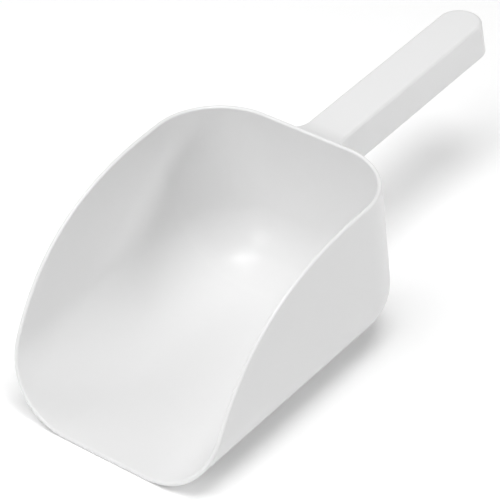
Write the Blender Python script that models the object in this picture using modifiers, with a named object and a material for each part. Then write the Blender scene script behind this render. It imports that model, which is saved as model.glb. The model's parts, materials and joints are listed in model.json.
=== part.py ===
"""Feed scoop: a white moulded-plastic hand scoop with a deep open bowl and a straight box handle.

Metres, +Z up. +Y runs from the lip of the bowl to the tip of the handle, and the scoop is the same on
both sides of the YZ plane. The origin is on the underside of the bowl, in the middle of its flat floor.
Three mouldings make it: the bowl with a tongue on its back, the handle shell that slides over the
tongue, and the base plate that closes the handle from below and locks it with a peg.
"""

from math import cos, pi, radians, sin, tan

import bmesh
import bpy
from mathutils import Matrix, Vector

# Bowl. The length, width and height are of the sharp-cornered block that the bowl is rounded from.
FLOOR_LENGTH = 0.192
BOWL_WIDTH = 0.1301
BOWL_HEIGHT = 0.1058
BOWL_WALL = 0.0024
CORNER_RADIUS = 0.039
SIDE_DRAFT = radians(0.7)
BACK_LEAN = radians(10.5)

# Mouth: one curve from the lip, steeply up, then level to the rim of the back wall. The first pair pulls
# it up and back from the lip, the second pair down and forward from the rim, each as shares of the
# bowl's height and of the floor's length.
MOUTH_RISE = 1.161
MOUTH_SWEEP = 0.124
MOUTH_RIM_DROP = 0.023
MOUTH_RIM_RUN = 0.264

# Handle. Its drop is from the rim of the back wall to the top of its root, and its length is along its
# top, from the back wall to the tip.
HANDLE_DROP = 0.0107
HANDLE_TILT = radians(1.35)
HANDLE_LENGTH = 0.1583
HANDLE_ROOT_WIDTH = 0.0249
HANDLE_TIP_WIDTH = 0.0248
HANDLE_DEPTH = 0.0225
HANDLE_WALL = 0.0022
HANDLE_DRAFT = radians(1.5)
HANDLE_END_LEAN = radians(12.3)
HANDLE_TOP_RADIUS = 0.002
# The root fillet is a quarter of an ellipse: this far along the handle, and this far out or up.
ROOT_FILLET = 0.019
ROOT_RISE = 0.011

# Joint between the bowl, the shell and the base plate.
CLEARANCE = 0.0003
TONGUE_LENGTH = 0.036
TONGUE_WALL = 0.0022
SOCKET_DEPTH = 0.004
TONGUE_LIFT = 0.003
PEG_RADIUS = 0.003
PEG_FROM_TONGUE_END = 0.011
BOSS_WALL = 0.002
RIB_THICKNESS = 0.0016
RIB_COUNT = 3
BASE_THICKNESS = 0.0024

# Fineness of the rounded shapes, in facets.
CORNER_STEPS = 12
MOUTH_STEPS = 30
TIP_STEPS = 14
EDGE_STEPS = 3
FILLET_STEPS = 8
PEG_STEPS = 32

# The arc of the root fillet that is kept: past it, the foot would be thinner than its gap to the wall.
FILLET_REACH = radians(78)

# How far cutters and overlapping blocks run past what they cut or join.
SPARE = 0.02
OVERLAP = 0.0008

LIP_Y = (CORNER_RADIUS - FLOOR_LENGTH) / 2
HANDLE_ROOT_Z = BOWL_HEIGHT - HANDLE_DROP


def back_wall_y(z):
    """Outer face of the back wall at a height above its bottom radius."""
    return LIP_Y + FLOOR_LENGTH - z * tan(BACK_LEAN)


# In the handle's own frame: the origin is where its top meets the back wall, +Y runs to the tip.
SEAT_LEAN = BACK_LEAN - HANDLE_TILT
SEAT_NORMAL = Vector((0.0, cos(SEAT_LEAN), sin(SEAT_LEAN)))


def seat_y(z, gap=0.0):
    """The back wall's outer face, or a face this far off it, in the handle's frame."""
    return (gap - z * sin(SEAT_LEAN)) / cos(SEAT_LEAN)


def handle_half_width(y, z):
    """Outer half width of the handle, which grows a little towards its open underside."""
    share = y / HANDLE_LENGTH
    top = (HANDLE_ROOT_WIDTH * (1 - share) + HANDLE_TIP_WIDTH * share) / 2
    return top - z * tan(HANDLE_DRAFT)


def handle_end_y(z):
    return HANDLE_LENGTH - z * tan(HANDLE_END_LEAN)


# Levels inside the handle, in its frame.
ROOF_Z = -HANDLE_WALL
TONGUE_TOP_Z = ROOF_Z - SOCKET_DEPTH
BASE_TOP_Z = BASE_THICKNESS - HANDLE_DEPTH
TONGUE_BOTTOM_Z = BASE_TOP_Z + TONGUE_LIFT
PEG_Y = TONGUE_LENGTH - PEG_FROM_TONGUE_END
BORE_RADIUS = PEG_RADIUS + CLEARANCE
BOSS_RADIUS = BORE_RADIUS + BOSS_WALL


def plastic(name, colour, roughness):
    material = bpy.data.materials.new(name)
    material.use_nodes = True
    shader = material.node_tree.nodes["Principled BSDF"]
    shader.inputs["Base Color"].default_value = (*colour, 1.0)
    shader.inputs["Roughness"].default_value = roughness
    shader.inputs["Metallic"].default_value = 0.0
    return material


def block(corner):
    """A cube whose corners go where corner(side, end, level) says, each argument being -1 or 1."""
    shape = bmesh.new()
    bmesh.ops.create_cube(shape, size=2.0)
    for vertex in shape.verts:
        vertex.co = corner(*vertex.co)
    return shape


def straight_block(half_width, y_near, y_far, z_low, z_high):
    return block(
        lambda side, end, level: (
            side * half_width,
            y_near if end < 0 else y_far,
            z_low if level < 0 else z_high,
        )
    )


def round_edges(shape, edges, radius, steps):
    bmesh.ops.bevel(
        shape,
        geom=edges,
        offset=radius,
        offset_type="OFFSET",
        segments=steps,
        profile=0.5,
        affect="EDGES",
    )


def as_object(shape, name, collection, parent=None):
    bmesh.ops.recalc_face_normals(shape, faces=shape.faces)
    mesh = bpy.data.meshes.new(name)
    shape.to_mesh(mesh)
    shape.free()
    obj = bpy.data.objects.new(name, mesh)
    obj.parent = parent
    collection.objects.link(obj)
    return obj


def as_helper(obj):
    obj.hide_render = True
    obj.display_type = "WIRE"
    return obj


def finish(obj, material):
    obj.data.materials.append(material)
    obj.data.shade_smooth()
    obj.data.set_sharp_from_angle(angle=radians(35))


def cylinder(radius, y, z_low, z_high):
    shape = bmesh.new()
    bmesh.ops.create_cone(
        shape,
        cap_ends=True,
        segments=PEG_STEPS,
        radius1=radius,
        radius2=radius,
        depth=z_high - z_low,
        matrix=Matrix.Translation((0.0, y, (z_low + z_high) / 2)),
    )
    return shape


def combine(obj, other, operation):
    modifier = obj.modifiers.new(f"{operation.lower()} {other.name}", "BOOLEAN")
    modifier.operation = operation
    modifier.object = other
    modifier.solver = "EXACT"


def bowl_skin():
    """Outer skin of the bowl: a leaning block with rounded corners, open at the front and the top."""
    top = BOWL_HEIGHT + SPARE
    front = LIP_Y - SPARE

    def corner(side, end, level):
        z = 0.0 if level < 0 else top
        half_width = BOWL_WIDTH / 2 + z * tan(SIDE_DRAFT)
        return side * half_width, front if end < 0 else back_wall_y(z), z

    shape = block(corner)
    open_faces = [f for f in shape.faces if all(v.co.z == f.verts[0].co.z > 0 for v in f.verts)]
    open_faces += [f for f in shape.faces if all(abs(v.co.y - front) < CLEARANCE for v in f.verts)]
    open_edges = {edge for face in open_faces for edge in face.edges}
    inner_edges = [edge for edge in shape.edges if edge not in open_edges]
    bmesh.ops.delete(shape, geom=open_faces, context="FACES")
    round_edges(shape, inner_edges, CORNER_RADIUS, CORNER_STEPS)
    return shape


def mouth_cutter(collection):
    """Everything above and in front of the mouth curve, as a flat outline extruded across the bowl."""
    curve = bpy.data.curves.new("mouth_outline", "CURVE")
    curve.dimensions = "2D"
    curve.fill_mode = "BOTH"
    curve.extrude = BOWL_WIDTH
    curve.resolution_u = MOUTH_STEPS
    rim_y = back_wall_y(BOWL_HEIGHT)
    far_y = rim_y + SPARE
    front_y = LIP_Y - 2 * SPARE
    top_z = BOWL_HEIGHT + 2 * SPARE
    lip = Vector((LIP_Y, 0.0))
    rim = Vector((rim_y, BOWL_HEIGHT))
    lip_pull = lip + Vector((MOUTH_SWEEP * FLOOR_LENGTH, MOUTH_RISE * BOWL_HEIGHT))
    rim_pull = rim - Vector((MOUTH_RIM_RUN * FLOOR_LENGTH, MOUTH_RIM_DROP * BOWL_HEIGHT))
    outline = [
        Vector((LIP_Y, -SPARE)),
        lip,
        rim,
        Vector((far_y, BOWL_HEIGHT)),
        Vector((far_y, top_z)),
        Vector((front_y, top_z)),
        Vector((front_y, -SPARE)),
    ]
    spline = curve.splines.new("BEZIER")
    spline.bezier_points.add(len(outline) - 1)
    spline.use_cyclic_u = True
    for point, place in zip(spline.bezier_points, outline):
        point.co = place.to_3d()
        point.handle_left_type = point.handle_right_type = "VECTOR"
    start, end = spline.bezier_points[1], spline.bezier_points[2]
    start.handle_right_type = end.handle_left_type = "FREE"
    start.handle_right = lip_pull.to_3d()
    end.handle_left = rim_pull.to_3d()

    outline_object = bpy.data.objects.new("mouth_outline", curve)
    outline_object.rotation_euler = (pi / 2, 0.0, pi / 2)
    collection.objects.link(outline_object)
    bpy.context.view_layer.update()
    graph = bpy.context.evaluated_depsgraph_get()
    mesh = bpy.data.meshes.new_from_object(outline_object.evaluated_get(graph))
    shape = bmesh.new()
    shape.from_mesh(mesh)
    bmesh.ops.remove_doubles(shape, verts=shape.verts, dist=1e-6)
    cutter = as_object(shape, "mouth_cutter", collection)
    cutter.matrix_world = outline_object.matrix_world.copy()
    bpy.data.objects.remove(outline_object)
    bpy.data.meshes.remove(mesh)
    return as_helper(cutter)


def tongue_block():
    """The tongue behind the back wall, with a pocket cored out of each side."""
    half_width = handle_half_width(0.0, TONGUE_TOP_Z) - HANDLE_WALL - CLEARANCE

    def corner(side, end, level):
        z = TONGUE_BOTTOM_Z if level < 0 else TONGUE_TOP_Z
        return side * half_width, seat_y(z, -BOWL_WALL / 2) if end < 0 else TONGUE_LENGTH, z

    shape = block(corner)
    sides = [face for face in shape.faces if abs(face.normal.x) > 0.9]
    for face in sides:
        bmesh.ops.inset_region(
            shape, faces=[face], thickness=TONGUE_WALL, depth=TONGUE_WALL / 2 - half_width
        )
    return shape


def make_bowl(collection, helpers, datum, material):
    bowl = as_object(bowl_skin(), "bowl", collection)
    wall = bowl.modifiers.new("wall", "SOLIDIFY")
    wall.thickness = BOWL_WALL
    wall.offset = -1.0
    wall.use_even_offset = True
    combine(bowl, mouth_cutter(helpers), "DIFFERENCE")
    tongue = as_helper(as_object(tongue_block(), "tongue_block", helpers, datum))
    boss = cylinder(BOSS_RADIUS, PEG_Y, TONGUE_BOTTOM_Z, TONGUE_TOP_Z)
    combine(tongue, as_helper(as_object(boss, "tongue_boss", helpers, datum)), "UNION")
    combine(bowl, tongue, "UNION")
    bore = cylinder(BORE_RADIUS, PEG_Y, TONGUE_BOTTOM_Z - SPARE, TONGUE_TOP_Z + OVERLAP)
    combine(bowl, as_helper(as_object(bore, "tongue_bore", helpers, datum)), "DIFFERENCE")
    finish(bowl, material)
    return bowl


def handle_block(near_gap, inset, z_low, z_high):
    """The handle's tapered outline between two levels, drawn in all round by the inset."""

    def corner(side, end, level):
        z = z_low if level < 0 else z_high
        y = seat_y(z, near_gap) if end < 0 else handle_end_y(z) - inset
        return side * (handle_half_width(y, z) - inset), y, z

    shape = block(corner)
    tip_edges = [
        edge
        for edge in shape.edges
        if all(v.co.y > HANDLE_LENGTH / 2 for v in edge.verts)
        and edge.verts[0].co.x * edge.verts[1].co.x > 0
    ]
    round_edges(shape, tip_edges, HANDLE_TIP_WIDTH / 2 - inset - OVERLAP / 8, TIP_STEPS)
    return shape


def handle_outside():
    """The handle as one solid bar, with softened top edges and a foot that flares out onto the wall."""
    shape = handle_block(0.0, 0.0, -HANDLE_DEPTH, 0.0)
    top = max(shape.faces, key=lambda face: face.calc_center_median().z)
    root = min(shape.faces, key=lambda face: face.calc_center_median().y)
    top_edges = [edge for edge in top.edges if edge not in root.edges[:]]
    round_edges(shape, top_edges, HANDLE_TOP_RADIUS, EDGE_STEPS)

    # Rings of points parallel to the wall, which then move out along the root fillet's arc.
    for step in range(FILLET_STEPS):
        angle = FILLET_REACH * step / FILLET_STEPS
        bmesh.ops.bisect_plane(
            shape,
            geom=shape.verts[:] + shape.edges[:] + shape.faces[:],
            plane_co=SEAT_NORMAL * ROOT_FILLET * (1 - sin(angle)),
            plane_no=SEAT_NORMAL,
        )
    bmesh.ops.recalc_face_normals(shape, faces=shape.faces)
    shape.normal_update()
    moves = {}
    for vertex in shape.verts:
        near = min(1 - vertex.co.dot(SEAT_NORMAL) / ROOT_FILLET, sin(FILLET_REACH))
        out = Vector((vertex.normal.x, 0.0, max(vertex.normal.z, 0.0)))
        if near > 0 and out.length > 0:
            moves[vertex] = out.normalized() * ROOT_RISE * (1 - (1 - near**2) ** 0.5)
    for vertex, move in moves.items():
        vertex.co += move
    return shape


def make_handle_shell(collection, helpers, datum, material):
    shell = as_object(handle_outside(), "handle_shell", collection, datum)
    cavity = handle_block(-SPARE, HANDLE_WALL, -HANDLE_DEPTH - SPARE, ROOF_Z)
    combine(shell, as_helper(as_object(cavity, "handle_cavity", helpers, datum)), "DIFFERENCE")

    def seat_corner(side, end, level):
        z = SPARE * 3 * level
        return side * SPARE * 3, seat_y(z, CLEARANCE if end > 0 else -2 * SPARE), z

    seat = as_helper(as_object(block(seat_corner), "seat_cutter", helpers, datum))
    combine(shell, seat, "DIFFERENCE")

    rib_low = BASE_TOP_Z + CLEARANCE
    boss = cylinder(BOSS_RADIUS, PEG_Y, TONGUE_TOP_Z + CLEARANCE, ROOF_Z + OVERLAP)
    combine(shell, as_helper(as_object(boss, "socket_boss", helpers, datum)), "UNION")
    socket = cylinder(BORE_RADIUS, PEG_Y, TONGUE_TOP_Z - OVERLAP, ROOF_Z)
    combine(shell, as_helper(as_object(socket, "socket_hole", helpers, datum)), "DIFFERENCE")
    rib_pitch = (HANDLE_LENGTH - TONGUE_LENGTH) / (RIB_COUNT + 1)
    for count in range(1, RIB_COUNT + 1):
        y = TONGUE_LENGTH + rib_pitch * count
        half_width = handle_half_width(y, 0.0) - HANDLE_WALL + OVERLAP
        rib = straight_block(
            half_width, y - RIB_THICKNESS / 2, y + RIB_THICKNESS / 2, rib_low, ROOF_Z + OVERLAP
        )
        combine(shell, as_helper(as_object(rib, f"rib_block_{count}", helpers, datum)), "UNION")
    finish(shell, material)
    return shell


def make_handle_base(collection, helpers, datum, material):
    plate = handle_block(CLEARANCE, HANDLE_WALL + CLEARANCE, -HANDLE_DEPTH, BASE_TOP_Z)
    base = as_object(plate, "handle_base", collection, datum)
    peg = cylinder(PEG_RADIUS, PEG_Y, BASE_TOP_Z - OVERLAP, ROOF_Z - CLEARANCE)
    combine(base, as_helper(as_object(peg, "peg_block", helpers, datum)), "UNION")
    finish(base, material)
    return base


def main():
    for obj in list(bpy.data.objects):
        bpy.data.objects.remove(obj)
    parts = bpy.data.collections.new("feed_scoop")
    helpers = bpy.data.collections.new("cutters_and_blocks")
    helpers.hide_render = True
    for collection in (parts, helpers):
        bpy.context.scene.collection.children.link(collection)

    datum = bpy.data.objects.new("handle_datum", None)
    datum.location = (0.0, back_wall_y(HANDLE_ROOT_Z), HANDLE_ROOT_Z)
    datum.rotation_euler = (HANDLE_TILT, 0.0, 0.0)
    parts.objects.link(datum)

    bowl_white = plastic("bowl_white_polypropylene", (0.80, 0.80, 0.79), 0.36)
    shell_white = plastic("handle_white_polypropylene", (0.81, 0.81, 0.80), 0.38)
    base_white = plastic("base_white_polypropylene", (0.79, 0.79, 0.78), 0.40)
    make_bowl(parts, helpers, datum, bowl_white)
    make_handle_shell(parts, helpers, datum, shell_white)
    make_handle_base(parts, helpers, datum, base_white)


main()
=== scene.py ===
"""White moulded feed scoop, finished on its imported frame, with the studio that it stands in.

Metres, +Z up. +Y runs from the lip of the bowl to the tip of the handle. The bowl, the handle
shell and the base plate are each modelled again here, finer than the frame has them, in the same
places.
"""

import json
from math import cos, radians, sin, sqrt, tan

import bmesh
import bpy
from bpy.props import FloatProperty, FloatVectorProperty, IntProperty, PointerProperty
from mathutils import Matrix, Vector

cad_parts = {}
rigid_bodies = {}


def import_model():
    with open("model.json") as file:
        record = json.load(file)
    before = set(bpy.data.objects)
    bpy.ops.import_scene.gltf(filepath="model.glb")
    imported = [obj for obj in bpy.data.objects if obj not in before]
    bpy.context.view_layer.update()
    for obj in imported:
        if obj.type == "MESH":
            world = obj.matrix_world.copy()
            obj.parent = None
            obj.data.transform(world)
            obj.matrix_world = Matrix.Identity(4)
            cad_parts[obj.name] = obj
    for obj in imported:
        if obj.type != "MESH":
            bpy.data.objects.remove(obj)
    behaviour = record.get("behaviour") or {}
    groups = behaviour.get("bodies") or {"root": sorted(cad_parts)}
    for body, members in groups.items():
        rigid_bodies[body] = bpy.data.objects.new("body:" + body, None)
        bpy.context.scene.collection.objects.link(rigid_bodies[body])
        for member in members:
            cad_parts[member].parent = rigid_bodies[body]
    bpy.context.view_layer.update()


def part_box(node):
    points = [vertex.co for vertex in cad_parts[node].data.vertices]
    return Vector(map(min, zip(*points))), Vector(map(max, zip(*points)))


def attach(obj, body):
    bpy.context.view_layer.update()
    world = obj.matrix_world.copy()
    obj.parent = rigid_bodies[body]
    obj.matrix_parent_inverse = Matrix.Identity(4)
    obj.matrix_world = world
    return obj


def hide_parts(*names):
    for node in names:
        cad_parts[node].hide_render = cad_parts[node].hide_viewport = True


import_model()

bl_info = {
    "name": "Feed Scoop",
    "version": (1, 0, 0),
    "blender": (4, 5, 0),
    "location": "View3D > Sidebar > Scoop",
    "description": "Models a moulded feed scoop: bowl, handle shell, base plate and studio",
    "category": "Object",
}

BOWL_LOW, BOWL_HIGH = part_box("bowl")

# How far cutters and joined blocks run past what they cut or join.
SPARE = 0.02
OVERLAP = 0.0008
# Points of the cut rim that are closer than this are made one, so that its rounding stays clean.
RIM_MERGE = 0.0002
# Points closer than this are one point, and rings of points are told apart to this many decimals.
WELD = 1e-6
RING_DIGITS = 7
# How nearly a normal follows an axis: on a face that may lean, and on one that lies flat.
LEANING = 0.9
FLAT = 0.99
# Edges that fold by more than the first are the rim's. Those under the second are shaded smooth.
RIM_FOLD = radians(50)
SMOOTH_FOLD = radians(35)
# How far short of the middle each corner of the round end stops, so that the two don't meet.
END_GAP = 1e-4

MM_PER_METRE = 1000


def from_hex(colour):
    """A colour given as sRGB hex, in the linear values that shaders take."""
    channels = [int(colour[at : at + 2], 16) / 255 for at in (1, 3, 5)]
    return [c / 12.92 if c <= 0.04045 else ((c + 0.055) / 1.055) ** 2.4 for c in channels]


def length(name, description, default):
    return FloatProperty(
        name=name, description=description, default=default, unit="LENGTH", precision=5, min=0.0
    )


def angle(name, description, degrees):
    return FloatProperty(
        name=name, description=description, default=radians(degrees), subtype="ANGLE"
    )


def share(name, description, default):
    return FloatProperty(name=name, description=description, default=default, subtype="FACTOR")


def count(name, description, default):
    return IntProperty(name=name, description=description, default=default, min=1)


def strength(name, description, default):
    return FloatProperty(name=name, description=description, default=default, min=0.0)


def power(name, description, default):
    return FloatProperty(
        name=name, description=description, default=default, min=0.0, unit="POWER"
    )


def colour(name, description, value):
    return FloatVectorProperty(
        name=name, description=description, default=from_hex(value), subtype="COLOR", size=3
    )


# The middle of the bowl, which every lamp looks at.
LAMP_TARGET = Vector((0.0, 0.03, 0.05))


class ScoopBowlSizes(bpy.types.PropertyGroup):
    floor_length: length("Floor length", "Lip to back wall, before the corners are rounded", 0.192)
    rim_width: length("Rim width", "Outer width at the rim", BOWL_HIGH.x - BOWL_LOW.x)
    height: length("Height", "Underside to the rim of the back wall", BOWL_HIGH.z)
    lip_y: FloatProperty(
        name="Lip", description="Place of the lip", default=BOWL_LOW.y, unit="LENGTH"
    )
    wall: length("Wall", "Thickness of the bowl's wall", 0.0024)
    corner_radius: length("Corner radius", "Outer radius of the bottom and back corners", 0.039)
    rim_round: length("Rim rounding", "Radius of the two edges of the rim", 0.0011)
    side_draft: angle("Side draft", "How far each side leans out", 0.7)
    back_lean: angle("Back lean", "How far the back wall leans forward", 10.5)
    mouth_rise: share("Mouth rise", "Pull of the mouth curve up from the lip, by height", 1.161)
    mouth_sweep: share("Mouth sweep", "Pull of the mouth curve back from the lip, by length", 0.124)
    mouth_rim_drop: share("Rim drop", "Pull of the mouth curve down from the rim, by height", 0.023)
    mouth_rim_run: share(
        "Rim run", "Pull of the mouth curve forward from the rim, by length", 0.264
    )
    corner_facets: count("Corner facets", "Facets round each corner", 28)
    mouth_facets: count("Mouth facets", "Facets along the mouth curve", 72)
    rim_facets: count("Rim facets", "Facets round each edge of the rim", 5)


class ScoopHandleSizes(bpy.types.PropertyGroup):
    drop: length("Drop", "Rim of the back wall to the top of the handle's root", 0.0107)
    tilt: angle("Tilt", "How far the handle climbs towards its tip", 1.35)
    length: length("Length", "Back wall to tip, along the top", 0.1583)
    root_width: length("Root width", "Width of the top at the root", 0.0249)
    tip_width: length("Tip width", "Width of the top at the tip", 0.0248)
    depth: length("Depth", "Top to underside", 0.0225)
    wall: length("Wall", "Thickness of the shell", 0.0022)
    draft: angle("Draft", "How far the sides lean out towards the underside", 1.5)
    end_lean: angle("End lean", "How far the round end leans out towards the underside", 12.3)
    top_round: length("Top rounding", "Radius of the top edges", 0.002)
    foot_round: length("Underside rounding", "Radius of the edges of the underside", 0.001)
    root_fillet: length("Root fillet", "How far along the handle the root fillet runs", 0.019)
    root_rise: length("Root rise", "How far out and up the root fillet spreads at the wall", 0.011)
    fillet_reach: angle(
        "Fillet reach", "How much of a quarter turn the root fillet goes through", 80
    )
    seam: length("Seam", "Gap between the handle's root and the back wall", 0.00005)
    clearance: length("Clearance", "Gap round the base plate and in the joint", 0.0003)
    tongue_length: length("Tongue length", "Length of the bowl's tongue inside the handle", 0.036)
    tongue_wall: length("Tongue wall", "Thickness of the tongue's walls", 0.0022)
    tongue_lift: length("Tongue lift", "Gap between the tongue and the base plate", 0.003)
    socket_depth: length("Socket depth", "Height of the socket under the roof of the shell", 0.004)
    peg_radius: length("Peg radius", "Radius of the peg that locks the joint", 0.003)
    peg_inset: length("Peg inset", "Middle of the peg to the end of the tongue", 0.011)
    boss_wall: length("Boss wall", "Wall round the peg's bore", 0.002)
    base_thickness: length("Base thickness", "Thickness of the base plate", 0.0024)
    rib_thickness: length("Rib thickness", "Thickness of each rib inside the shell", 0.0016)
    rib_count: count("Ribs", "Ribs inside the shell", 3)
    tip_facets: count("Tip facets", "Facets round each half of the round end", 24)
    edge_facets: count("Edge facets", "Facets round each edge", 6)
    fillet_facets: count("Fillet facets", "Facets round the root fillet", 14)
    peg_facets: count("Peg facets", "Facets round the peg", 48)


class ScoopColours(bpy.types.PropertyGroup):
    bowl: colour("Bowl", "White of the bowl", "#E7E7E7")
    handle: colour("Handle", "White of the handle shell", "#E9E9E9")
    base: colour("Base plate", "White of the base plate", "#E6E6E6")
    floor: colour("Floor", "White of the studio floor", "#FFFFFF")


class ScoopStudio(bpy.types.PropertyGroup):
    azimuth: angle("Azimuth", "Camera's turn to the right of the scoop's mouth", 36.489)
    elevation: angle("Elevation", "Camera's height above the horizon", 36.721)
    distance: length("Distance", "Camera to the point it looks at", 1.3779)
    aim: FloatVectorProperty(
        name="Aim",
        description="Point that the camera looks at",
        default=(-0.01346, 0.06522, 0.04),
        subtype="XYZ",
        unit="LENGTH",
    )
    lens: FloatProperty(name="Lens", description="Focal length in millimetres", default=187.2)
    lamp_distance: length("Lamp distance", "Each lamp to the middle of the bowl", 1.6)
    sky: strength("Sky", "Strength of the even white light", 0.02)
    glow: strength("Glow", "Strength of the light that comes through the floor", 0.04)
    key: power("Key", "Small round lamp overhead that gives the bowl its shine", 1.7)
    top: power("Top", "Large soft lamp overhead, a little to the right", 9.5)
    front: power("Front", "Large soft lamp above the lip", 8.5)
    low_front: power("Low front", "Large soft lamp low in front of the lip", 7.5)
    left: power("Left", "Large soft lamp to the left", 6.5)
    right: power("Right", "Soft lamp to the right, behind the bowl", 6.8)


# Steps that every piece goes through.


def deselect_all():
    if bpy.context.object and bpy.context.object.mode != "OBJECT":
        bpy.ops.object.mode_set(mode="OBJECT")
    bpy.ops.object.select_all(action="DESELECT")


def select_only(obj):
    deselect_all()
    obj.select_set(True)
    bpy.context.view_layer.objects.active = obj


def named(name):
    """Names the object just added, and takes its place, turn and scale into its mesh."""
    obj = bpy.context.object
    obj.name = obj.data.name = name
    bpy.ops.object.transform_apply(location=True, rotation=True, scale=True)
    return obj


def add_block(name, low, high):
    deselect_all()
    low, high = Vector(low), Vector(high)
    bpy.ops.mesh.primitive_cube_add(size=1.0, location=(low + high) / 2, scale=high - low)
    return named(name)


def add_rod(name, radius, y, low_z, high_z, facets):
    deselect_all()
    bpy.ops.mesh.primitive_cylinder_add(
        vertices=facets,
        radius=radius,
        depth=high_z - low_z,
        location=(0.0, y, (low_z + high_z) / 2),
    )
    return named(name)


def turn(obj, angle_x, place=(0.0, 0.0, 0.0)):
    """Turns a piece about the X axis and moves it, and takes both into its mesh."""
    select_only(obj)
    obj.rotation_euler = (angle_x, 0.0, 0.0)
    obj.location = place
    bpy.ops.object.transform_apply(location=True, rotation=True, scale=True)


def choose(kind, test):
    """In edit mode, selects only the vertices, edges or faces that pass the test."""
    bpy.ops.mesh.select_mode(type=kind)
    bpy.ops.mesh.select_all(action="DESELECT")
    mesh = bpy.context.edit_object.data
    shape = bmesh.from_edit_mesh(mesh)
    shape.normal_update()
    for item in {"VERT": shape.verts, "EDGE": shape.edges, "FACE": shape.faces}[kind]:
        item.select_set(test(item))
    shape.select_flush_mode()
    bmesh.update_edit_mesh(mesh)


def round_chosen(radius, facets):
    bpy.ops.mesh.bevel(
        offset_type="OFFSET",
        offset=radius,
        segments=facets,
        profile=0.5,
        affect="EDGES",
        clamp_overlap=False,
    )


def apply_modifier(obj, kind, **settings):
    select_only(obj)
    modifier = obj.modifiers.new(kind.lower(), kind)
    for name, value in settings.items():
        setattr(modifier, name, value)
    bpy.ops.object.modifier_apply(modifier=modifier.name)


def combine(obj, operation, *others):
    """Cuts or joins each of the others, which are then gone."""
    for other in others:
        apply_modifier(obj, "BOOLEAN", operation=operation, solver="EXACT", object=other)
        bpy.data.meshes.remove(other.data)


def shade(obj):
    """Smooth over the curves, with flat faces kept flat and real edges kept sharp."""
    select_only(obj)
    bpy.ops.object.mode_set(mode="EDIT")
    bpy.ops.mesh.select_all(action="SELECT")
    bpy.ops.mesh.remove_doubles(threshold=WELD)
    bpy.ops.mesh.normals_make_consistent(inside=False)
    bpy.ops.object.mode_set(mode="OBJECT")
    bpy.ops.object.shade_smooth_by_angle(angle=SMOOTH_FOLD)
    apply_modifier(obj, "WEIGHTED_NORMAL", weight=100, keep_sharp=True)


def fit_to_frame(obj, material, node):
    obj.data.materials.clear()
    obj.data.materials.append(material)
    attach(obj, "root")
    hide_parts(node)


# Finishes.

POLYPROPYLENE_IOR = 1.49
# What the darkest of the resin's clouds leaves of the white.
CLOUD_SHADE = 0.985
# The noise stays mostly within this, so the satin uses its whole range of roughness.
GRAIN_RANGE = (0.3, 0.7)
FLOOR_GRAIN_MM = 2.5


def add_node(tree, kind, settings=(), inputs=()):
    """Adds a node with its settings, and sets or links its inputs."""
    node = tree.nodes.new(kind)
    for name, value in dict(settings).items():
        setattr(node, name, value)
    for name, value in dict(inputs).items():
        if isinstance(value, bpy.types.NodeSocket):
            tree.links.new(value, node.inputs[name])
        else:
            node.inputs[name].default_value = value
    return node


def moulded_polypropylene(name, white, shiny, dull, flow_mm, grain_mm, grain_depth):
    """Injection-moulded polypropylene: an opaque, slightly waxy white with a satin skin.

    The resin's flow leaves the white very slightly cloudy over a few centimetres, and the polished
    steel of the mould leaves a fine grain that softens the reflections. The real grain is too fine
    to show, so it is drawn about a millimetre wide.
    """
    material = bpy.data.materials.new(name)
    material.use_nodes = True
    tree = material.node_tree
    tree.nodes.clear()
    place = add_node(tree, "ShaderNodeTexCoord").outputs["Object"]
    cloud = add_node(
        tree,
        "ShaderNodeTexNoise",
        inputs={
            "Vector": place,
            "Scale": MM_PER_METRE / flow_mm,
            "Detail": 2.0,
            "Roughness": 0.5,
        },
    ).outputs["Fac"]
    tint = add_node(
        tree,
        "ShaderNodeMix",
        settings={"data_type": "RGBA", "blend_type": "MULTIPLY"},
        inputs={0: cloud, 6: (*white, 1.0), 7: (*[CLOUD_SHADE] * 3, 1.0)},
    ).outputs[2]
    grain = add_node(
        tree,
        "ShaderNodeTexNoise",
        inputs={
            "Vector": place,
            "Scale": MM_PER_METRE / grain_mm,
            "Detail": 3.0,
            "Roughness": 0.6,
        },
    ).outputs["Fac"]
    satin = add_node(
        tree,
        "ShaderNodeMapRange",
        inputs={
            "Value": grain,
            "From Min": GRAIN_RANGE[0],
            "From Max": GRAIN_RANGE[1],
            "To Min": shiny,
            "To Max": dull,
        },
    ).outputs["Result"]
    skin = add_node(
        tree,
        "ShaderNodeBump",
        inputs={"Height": grain, "Strength": 1.0, "Distance": grain_depth},
    ).outputs["Normal"]
    shader = add_node(
        tree,
        "ShaderNodeBsdfPrincipled",
        inputs={
            "Base Color": tint,
            "Roughness": satin,
            "Normal": skin,
            "IOR": POLYPROPYLENE_IOR,
            "Metallic": 0.0,
        },
    )
    add_node(tree, "ShaderNodeOutputMaterial", inputs={"Surface": shader.outputs["BSDF"]})
    return material


def backlit_floor(white, glow):
    """Matt white acrylic, lit a little from below: an even white that barely takes a shadow."""
    material = bpy.data.materials.new("backlit_white_acrylic")
    material.use_nodes = True
    tree = material.node_tree
    tree.nodes.clear()
    place = add_node(tree, "ShaderNodeTexCoord").outputs["Object"]
    matt = add_node(
        tree,
        "ShaderNodeTexNoise",
        inputs={"Vector": place, "Scale": MM_PER_METRE / FLOOR_GRAIN_MM, "Detail": 2.0},
    ).outputs["Fac"]
    rough = add_node(
        tree, "ShaderNodeMapRange", inputs={"Value": matt, "To Min": 0.9, "To Max": 1.0}
    ).outputs["Result"]
    shader = add_node(
        tree,
        "ShaderNodeBsdfPrincipled",
        inputs={
            "Base Color": (*white, 1.0),
            "Roughness": rough,
            "Specular IOR Level": 0.0,
            "Emission Color": (*white, 1.0),
            "Emission Strength": glow,
        },
    )
    add_node(tree, "ShaderNodeOutputMaterial", inputs={"Surface": shader.outputs["BSDF"]})
    return material


# Bowl.


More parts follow.
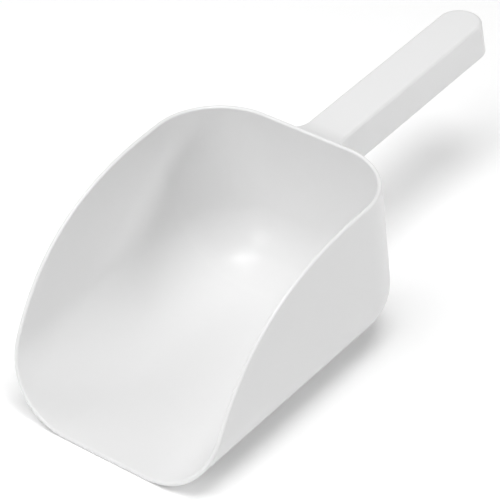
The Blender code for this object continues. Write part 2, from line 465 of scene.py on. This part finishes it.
def back_wall_y(bowl, z):
    """Outer face of the back wall at a height above its bottom corner."""
    return bowl.lip_y + bowl.floor_length - z * tan(bowl.back_lean)


def add_bowl_skin(bowl):
    """The outer skin: a block with leaning walls, open at the top and front, and round corners."""
    top = bowl.height + SPARE
    floor_half = bowl.rim_width / 2 - bowl.height * tan(bowl.side_draft)
    low = (-floor_half, bowl.lip_y - SPARE, 0.0)
    skin = add_block("scoop_bowl", low, (floor_half, back_wall_y(bowl, 0.0), top))
    bpy.ops.object.mode_set(mode="EDIT")
    choose("VERT", lambda v: v.co.z > top / 2)
    widen = 1 + top * tan(bowl.side_draft) / floor_half
    bpy.ops.transform.resize(value=(widen, 1.0, 1.0), center_override=(0.0, 0.0, top))
    choose("VERT", lambda v: v.co.z > top / 2 and v.co.y > 0)
    bpy.ops.transform.translate(value=(0.0, -top * tan(bowl.back_lean), 0.0))
    choose("FACE", lambda f: f.normal.z > LEANING or f.normal.y < -LEANING)
    bpy.ops.mesh.delete(type="FACE")
    choose("EDGE", lambda e: len(e.link_faces) == 2)
    round_chosen(bowl.corner_radius, bowl.corner_facets)
    bpy.ops.object.mode_set(mode="OBJECT")
    return skin


def add_mouth_sheet(bowl):
    """A wide sheet along the mouth curve, smooth so that its faces can be told from the skin's."""
    lip = Vector((-bowl.rim_width, bowl.lip_y, 0.0))
    rim = Vector((-bowl.rim_width, back_wall_y(bowl, bowl.height), bowl.height))
    lip_pull = Vector((0.0, bowl.mouth_sweep * bowl.floor_length, bowl.mouth_rise * bowl.height))
    rim_pull = Vector(
        (0.0, bowl.mouth_rim_run * bowl.floor_length, bowl.mouth_rim_drop * bowl.height)
    )
    deselect_all()
    bpy.ops.curve.primitive_bezier_curve_add()
    curve = bpy.context.object
    curve.data.resolution_u = bowl.mouth_facets
    points = curve.data.splines[0].bezier_points
    points.add(2)
    under_lip, behind_rim = lip - Vector((0.0, 0.0, SPARE)), rim + Vector((0.0, 3 * SPARE, 0.0))
    for point, place in zip(points, (under_lip, lip, rim, behind_rim)):
        point.handle_left_type = point.handle_right_type = "VECTOR"
        point.co = place
    points[1].handle_right_type = points[2].handle_left_type = "FREE"
    points[1].handle_right = lip + lip_pull
    points[2].handle_left = rim - rim_pull
    bpy.ops.object.convert(target="MESH")
    sheet = named("mouth_sheet")
    bpy.ops.object.mode_set(mode="EDIT")
    bpy.ops.mesh.select_all(action="SELECT")
    bpy.ops.mesh.extrude_region_move(
        TRANSFORM_OT_translate={"value": (2 * bowl.rim_width, 0.0, 0.0)}
    )
    bpy.ops.object.mode_set(mode="OBJECT")
    bpy.ops.object.shade_smooth()
    return sheet


def cut_mouth(skin, sheet, bowl):
    """Cuts the skin along the sheet, and takes away the sheet and all that is above it."""
    select_only(skin)
    sheet.select_set(True)
    bpy.ops.object.join()
    bpy.ops.object.mode_set(mode="EDIT")
    choose("FACE", lambda f: f.smooth)
    bpy.ops.mesh.intersect(mode="SELECT_UNSELECT", separate_mode="ALL", solver="FAST")
    choose("FACE", lambda f: f.smooth)
    bpy.ops.mesh.delete(type="FACE")
    choose("VERT", lambda v: v.co.z > bowl.height + SPARE / 2)
    bpy.ops.mesh.select_linked()
    bpy.ops.mesh.delete(type="VERT")
    bpy.ops.mesh.select_all(action="SELECT")
    bpy.ops.mesh.remove_doubles(threshold=RIM_MERGE)
    bpy.ops.object.mode_set(mode="OBJECT")


class SCOOP_OT_bowl(bpy.types.Operator):
    """Model the bowl with its rounded rim and its tongue"""

    bl_idname = "scoop.bowl"
    bl_label = "Bowl"
    bl_options = {"REGISTER", "UNDO"}

    def execute(self, context):
        bowl, handle = context.scene.scoop_bowl, context.scene.scoop_handle
        piece = add_bowl_skin(bowl)
        cut_mouth(piece, add_mouth_sheet(bowl), bowl)
        apply_modifier(
            piece, "SOLIDIFY", thickness=bowl.wall, offset=-1.0, use_even_offset=True
        )
        bpy.ops.object.mode_set(mode="EDIT")
        choose("EDGE", lambda e: e.calc_face_angle(0.0) > RIM_FOLD)
        round_chosen(bowl.rim_round, bowl.rim_facets)
        bpy.ops.object.mode_set(mode="OBJECT")
        joint = HandleLevels(bowl, handle)
        tongue = add_tongue(handle, joint)
        boss = add_rod("tongue_boss", joint.boss_radius, joint.peg_y, joint.tongue_low,
                       joint.tongue_high, handle.peg_facets)
        combine(tongue, "UNION", boss)
        turn(tongue, handle.tilt, joint.root)
        bore = add_rod("tongue_bore", joint.bore_radius, joint.peg_y, joint.tongue_low - SPARE,
                       joint.tongue_high + OVERLAP, handle.peg_facets)
        turn(bore, handle.tilt, joint.root)
        combine(piece, "UNION", tongue)
        combine(piece, "DIFFERENCE", bore)
        shade(piece)
        white = moulded_polypropylene(
            "white_polypropylene_bowl",
            context.scene.scoop_colours.bowl,
            shiny=0.29,
            dull=0.35,
            flow_mm=45,
            grain_mm=0.9,
            grain_depth=1.5e-6,
        )
        fit_to_frame(piece, white, "bowl")
        return {"FINISHED"}


# Handle.


class HandleLevels:
    """Places in the handle's own frame, whose origin is where its top meets the back wall."""

    def __init__(self, bowl, handle):
        root_z = bowl.height - handle.drop
        self.root = (0.0, back_wall_y(bowl, root_z), root_z)
        self.seat_lean = bowl.back_lean - handle.tilt
        self.roof = -handle.wall
        self.tongue_high = self.roof - handle.socket_depth
        self.base_top = handle.base_thickness - handle.depth
        self.tongue_low = self.base_top + handle.tongue_lift
        self.peg_y = handle.tongue_length - handle.peg_inset
        self.bore_radius = handle.peg_radius + handle.clearance
        self.boss_radius = self.bore_radius + handle.boss_wall

    def seat_y(self, z, gap=0.0):
        """The back wall's outer face, or a face this far off it."""
        return (gap - z * sin(self.seat_lean)) / cos(self.seat_lean)


def add_tongue(handle, joint):
    """The tongue behind the back wall, with a pocket cored out of each side."""
    low, high = joint.tongue_low, joint.tongue_high
    half = handle.root_width / 2 - high * tan(handle.draft) - handle.wall - handle.clearance
    near = joint.seat_y(high, -handle.tongue_wall / 2)
    tongue = add_block("tongue", (-half, near, low), (half, handle.tongue_length, high))
    bpy.ops.object.mode_set(mode="EDIT")
    choose("VERT", lambda v: v.co.z < (low + high) / 2 and v.co.y < handle.tongue_length / 2)
    bpy.ops.transform.translate(value=(0.0, (high - low) * tan(joint.seat_lean), 0.0))
    choose("FACE", lambda f: abs(f.normal.x) > LEANING)
    bpy.ops.mesh.inset(
        thickness=handle.tongue_wall, depth=handle.tongue_wall / 2 - half, use_individual=True
    )
    bpy.ops.object.mode_set(mode="OBJECT")
    return tongue


def add_bar(name, handle, joint, gap, inset, low, high):
    """The handle's tapered outline and round end between two levels, drawn in by the inset."""
    half = handle.root_width / 2 - inset
    tip_half = handle.tip_width / 2 - inset
    bar = add_block(name, (-half, 0.0, low), (half, handle.length - inset, high))
    middle, middle_y = (low + high) / 2, handle.length / 2
    bpy.ops.object.mode_set(mode="EDIT")
    choose("VERT", lambda v: v.co.y > middle_y)
    bpy.ops.transform.resize(value=(tip_half / half, 1.0, 1.0), center_override=(0.0, 0.0, 0.0))
    for level, is_level in ((low, lambda z: z < middle), (high, lambda z: z > middle)):
        choose("VERT", lambda v: is_level(v.co.z))
        widen = 1 - level * tan(handle.draft) / half
        bpy.ops.transform.resize(value=(widen, 1.0, 1.0), center_override=(0.0, 0.0, level))
        choose("VERT", lambda v: is_level(v.co.z) and v.co.y > middle_y)
        bpy.ops.transform.translate(value=(0.0, -level * tan(handle.end_lean), 0.0))
        choose("VERT", lambda v: is_level(v.co.z) and v.co.y < middle_y)
        bpy.ops.transform.translate(value=(0.0, joint.seat_y(level, gap), 0.0))
    choose(
        "EDGE",
        lambda e: all(v.co.y > middle_y for v in e.verts)
        and e.verts[0].co.x * e.verts[1].co.x > 0,
    )
    round_chosen(tip_half - END_GAP, handle.tip_facets)
    bpy.ops.object.mode_set(mode="OBJECT")
    return bar


def round_outline(facing_up, radius, facets):
    """Rounds the edges of the top or the underside, but not where it meets the back wall."""
    sign = 1 if facing_up else -1

    def is_outline(edge):
        faces = edge.link_faces
        flat = [f for f in faces if f.normal.z * sign > FLAT]
        root = [f for f in faces if f.normal.y < -LEANING]
        return len(flat) == 1 and not root

    choose("EDGE", is_outline)
    round_chosen(radius, facets)


def flare_root(shell, handle, joint):
    """Rings near the wall, each drawn out along the root fillet's quarter ellipse."""
    turn(shell, -joint.seat_lean)
    bpy.ops.object.mode_set(mode="EDIT")
    run, reach = handle.root_fillet, handle.fillet_reach
    for step in range(handle.fillet_facets + 1):
        ring_y = max(run * (1 - sin(reach * step / handle.fillet_facets)), handle.seam)
        bpy.ops.mesh.select_all(action="SELECT")
        bpy.ops.mesh.bisect(plane_co=(0.0, ring_y, 0.0), plane_no=(0.0, 1.0, 0.0))
    shape = bmesh.from_edit_mesh(shell.data)
    rings = sorted({round(v.co.y, RING_DIGITS) for v in shape.verts if v.co.y < run})
    for ring_y in rings:
        near = min(1 - ring_y / run, sin(reach))
        out = handle.root_rise * (1 - sqrt(1 - near**2))
        choose("VERT", lambda v: abs(v.co.y - ring_y) < WELD)
        shape = bmesh.from_edit_mesh(shell.data)
        heights = [v.co.z for v in shape.verts if v.select]
        widths = [v.co.x for v in shape.verts if v.select]
        grow = (1 + out / max(widths), 1.0, 1 + out / (max(heights) - min(heights)))
        bpy.ops.transform.resize(value=grow, center_override=(0.0, ring_y, min(heights)))
    bpy.ops.object.mode_set(mode="OBJECT")
    turn(shell, joint.seat_lean)


class SCOOP_OT_handle_shell(bpy.types.Operator):
    """Model the hollow handle with its flared root, socket and ribs"""

    bl_idname = "scoop.handle_shell"
    bl_label = "Handle Shell"
    bl_options = {"REGISTER", "UNDO"}

    def execute(self, context):
        handle = context.scene.scoop_handle
        joint = HandleLevels(context.scene.scoop_bowl, handle)
        shell = add_bar(
            "scoop_handle_shell", handle, joint, handle.seam, 0.0, -handle.depth, 0.0
        )
        bpy.ops.object.mode_set(mode="EDIT")
        round_outline(True, handle.top_round, handle.edge_facets)
        round_outline(False, handle.foot_round, handle.edge_facets)
        bpy.ops.object.mode_set(mode="OBJECT")
        flare_root(shell, handle, joint)
        cavity = add_bar(
            "cavity", handle, joint, -SPARE, handle.wall, -handle.depth - SPARE, joint.roof
        )
        combine(shell, "DIFFERENCE", cavity)
        boss_low = joint.tongue_high + handle.clearance
        boss = add_rod("socket_boss", joint.boss_radius, joint.peg_y, boss_low,
                       joint.roof + OVERLAP, handle.peg_facets)
        hole = add_rod("socket_hole", joint.bore_radius, joint.peg_y, joint.tongue_high - OVERLAP,
                       joint.roof, handle.peg_facets)
        pitch = (handle.length - handle.tongue_length) / (handle.rib_count + 1)
        half = handle.tip_width / 2 - handle.wall + OVERLAP
        ribs = []
        for number in range(1, handle.rib_count + 1):
            y = handle.tongue_length + pitch * number
            low = (-half, y - handle.rib_thickness / 2, joint.base_top + handle.clearance)
            high = (half, y + handle.rib_thickness / 2, joint.roof + OVERLAP)
            ribs.append(add_block(f"rib_{number}", low, high))
        combine(shell, "UNION", boss, *ribs)
        combine(shell, "DIFFERENCE", hole)
        turn(shell, handle.tilt, joint.root)
        shade(shell)
        white = moulded_polypropylene(
            "white_polypropylene_handle",
            context.scene.scoop_colours.handle,
            shiny=0.29,
            dull=0.35,
            flow_mm=38,
            grain_mm=0.9,
            grain_depth=1.5e-6,
        )
        fit_to_frame(shell, white, "handle_shell")
        return {"FINISHED"}


class SCOOP_OT_handle_base(bpy.types.Operator):
    """Model the plate that closes the handle from below, with its peg"""

    bl_idname = "scoop.handle_base"
    bl_label = "Base Plate"
    bl_options = {"REGISTER", "UNDO"}

    def execute(self, context):
        handle = context.scene.scoop_handle
        joint = HandleLevels(context.scene.scoop_bowl, handle)
        inset = handle.wall + handle.clearance
        plate = add_bar("scoop_handle_base", handle, joint, handle.clearance, inset,
                        -handle.depth, joint.base_top)
        bpy.ops.object.mode_set(mode="EDIT")
        round_outline(False, handle.clearance, handle.edge_facets // 2)
        bpy.ops.object.mode_set(mode="OBJECT")
        peg = add_rod("peg", handle.peg_radius, joint.peg_y, joint.base_top - OVERLAP,
                      joint.roof - handle.clearance, handle.peg_facets)
        combine(plate, "UNION", peg)
        turn(plate, handle.tilt, joint.root)
        shade(plate)
        white = moulded_polypropylene(
            "white_polypropylene_base",
            context.scene.scoop_colours.base,
            shiny=0.36,
            dull=0.44,
            flow_mm=30,
            grain_mm=1.2,
            grain_depth=3e-6,
        )
        fit_to_frame(plate, white, "handle_base")
        return {"FINISHED"}


# Studio.

FLOOR_SIZE = 8.0
# The floor lies a hair under the bowl, so that the two faces aren't in one plane.
FLOOR_DROP = 0.0002
SENSOR_WIDTH_MM = 36.0


def add_soft_lamp(name, turn_degrees, rise_degrees, across, watts, shines, distance):
    """A round lamp that looks at the scoop, placed by its turn from +X and its rise.

    One that doesn't shine lights the plastic but leaves no highlight on it.
    """
    deselect_all()
    turned, rise = radians(turn_degrees), radians(rise_degrees)
    away = Vector((cos(turned) * cos(rise), sin(turned) * cos(rise), sin(rise)))
    bpy.ops.object.light_add(
        type="AREA",
        location=LAMP_TARGET + away * distance,
        rotation=(-away).to_track_quat("-Z", "Y").to_euler(),
    )
    lamp = bpy.context.object
    lamp.name = lamp.data.name = name
    lamp.data.shape = "DISK"
    lamp.data.size = across
    lamp.data.energy = watts
    lamp.visible_glossy = shines


class SCOOP_OT_studio(bpy.types.Operator):
    """Set up the floor, the soft light and the camera"""

    bl_idname = "scoop.studio"
    bl_label = "Studio"
    bl_options = {"REGISTER", "UNDO"}

    def execute(self, context):
        scene, studio = context.scene, context.scene.scoop_studio
        deselect_all()
        bpy.ops.mesh.primitive_plane_add(size=FLOOR_SIZE, location=(0.0, 0.0, -FLOOR_DROP))
        floor = named("studio_floor")
        floor.data.materials.append(backlit_floor(scene.scoop_colours.floor, studio.glow))

        world = bpy.data.worlds.new("studio_white")
        world.use_nodes = True
        world.node_tree.nodes["Background"].inputs["Color"].default_value = (1.0, 1.0, 1.0, 1.0)
        world.node_tree.nodes["Background"].inputs["Strength"].default_value = studio.sky
        scene.world = world
        # Name, turn and rise in degrees, width, power, and whether it shines on the plastic.
        for lamp in (
            ("key_lamp", -20, 72, 0.3, studio.key, True),
            ("top_lamp", 0, 80, 0.9, studio.top, True),
            ("front_lamp", -90, 65, 0.9, studio.front, True),
            ("low_front_lamp", -90, 20, 0.9, studio.low_front, True),
            ("left_lamp", 180, 45, 0.9, studio.left, True),
            ("right_lamp", 40, 32, 0.4, studio.right, False),
        ):
            add_soft_lamp(*lamp, studio.lamp_distance)

        turned, rise = studio.azimuth, studio.elevation
        right = Vector((cos(turned), sin(turned), 0.0))
        back = Vector((sin(turned) * cos(rise), -cos(turned) * cos(rise), sin(rise)))
        up = back.cross(right)
        pose = Matrix((right, up, back)).transposed().to_4x4()
        pose.translation = Vector(studio.aim) + back * studio.distance
        deselect_all()
        bpy.ops.object.camera_add()
        camera = context.object
        camera.name = camera.data.name = "studio_camera"
        camera.matrix_world = pose
        camera.data.sensor_width = SENSOR_WIDTH_MM
        camera.data.lens = studio.lens
        scene.camera = camera
        scene.view_settings.view_transform = "Standard"
        return {"FINISHED"}


class SCOOP_PT_panel(bpy.types.Panel):
    """Lists the scoop's sizes, colours and pieces"""

    bl_idname = "SCOOP_PT_panel"
    bl_label = "Feed Scoop"
    bl_space_type = "VIEW_3D"
    bl_region_type = "UI"
    bl_category = "Scoop"

    def draw(self, context):
        for title, group in (
            ("Bowl", context.scene.scoop_bowl),
            ("Handle", context.scene.scoop_handle),
            ("Colours", context.scene.scoop_colours),
            ("Studio", context.scene.scoop_studio),
        ):
            box = self.layout.box()
            box.label(text=title)
            for name in group.__annotations__:
                box.prop(group, name)
        for operator in OPERATORS:
            self.layout.operator(operator.bl_idname)


GROUPS = {
    "scoop_bowl": ScoopBowlSizes,
    "scoop_handle": ScoopHandleSizes,
    "scoop_colours": ScoopColours,
    "scoop_studio": ScoopStudio,
}
OPERATORS = (SCOOP_OT_bowl, SCOOP_OT_handle_shell, SCOOP_OT_handle_base, SCOOP_OT_studio)


def register():
    for name, group in GROUPS.items():
        bpy.utils.register_class(group)
        setattr(bpy.types.Scene, name, PointerProperty(type=group))
    for cls in (*OPERATORS, SCOOP_PT_panel):
        bpy.utils.register_class(cls)


def unregister():
    for cls in (SCOOP_PT_panel, *reversed(OPERATORS)):
        bpy.utils.unregister_class(cls)
    for name, group in reversed(GROUPS.items()):
        delattr(bpy.types.Scene, name)
        bpy.utils.unregister_class(group)


def main():
    register()
    bpy.ops.scoop.bowl()
    bpy.ops.scoop.handle_shell()
    bpy.ops.scoop.handle_base()
    bpy.ops.scoop.studio()


if __name__ == "__main__":
    main()
